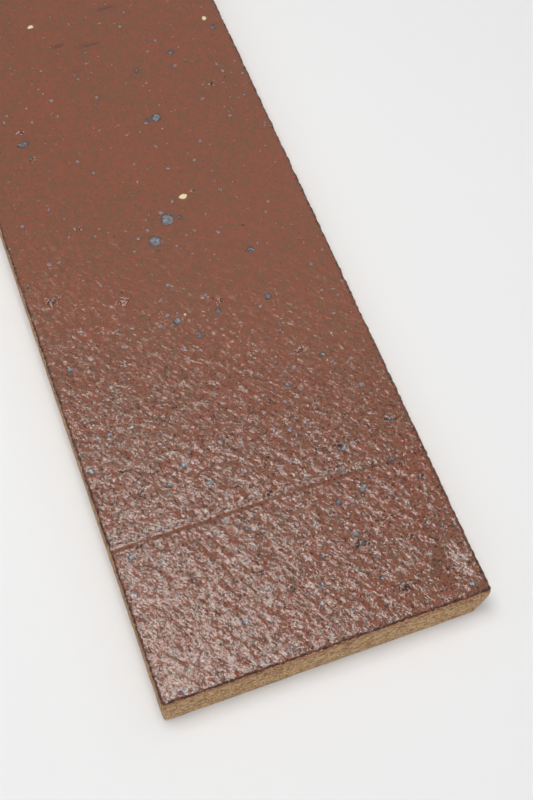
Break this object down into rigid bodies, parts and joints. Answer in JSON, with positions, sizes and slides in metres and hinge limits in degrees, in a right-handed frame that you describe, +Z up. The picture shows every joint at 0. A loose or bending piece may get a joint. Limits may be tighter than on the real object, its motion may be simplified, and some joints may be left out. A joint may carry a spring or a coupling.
{
  "type": "glazed thin brick",
  "caption": "Flat fired-clay thin brick with a speckled red-brown glazed face, a buff body, a shallow cross groove and one broken corner.",
  "frame": {"origin": "centre of the flat unglazed back, which the brick lies on", "axes": "+X across the width, +Y along the length away from the end with the broken corner, +Z up out of the glazed face"},
  "size_m": [0.0922, 0.2954, 0.0127],
  "materials": {
    "fired_clay": "semi-gloss speckled red-brown glaze on the face, matt buff clay elsewhere"
  },
  "bodies": {
    "root": {"thin_brick": "fired_clay"}
  },
  "joints": []
}
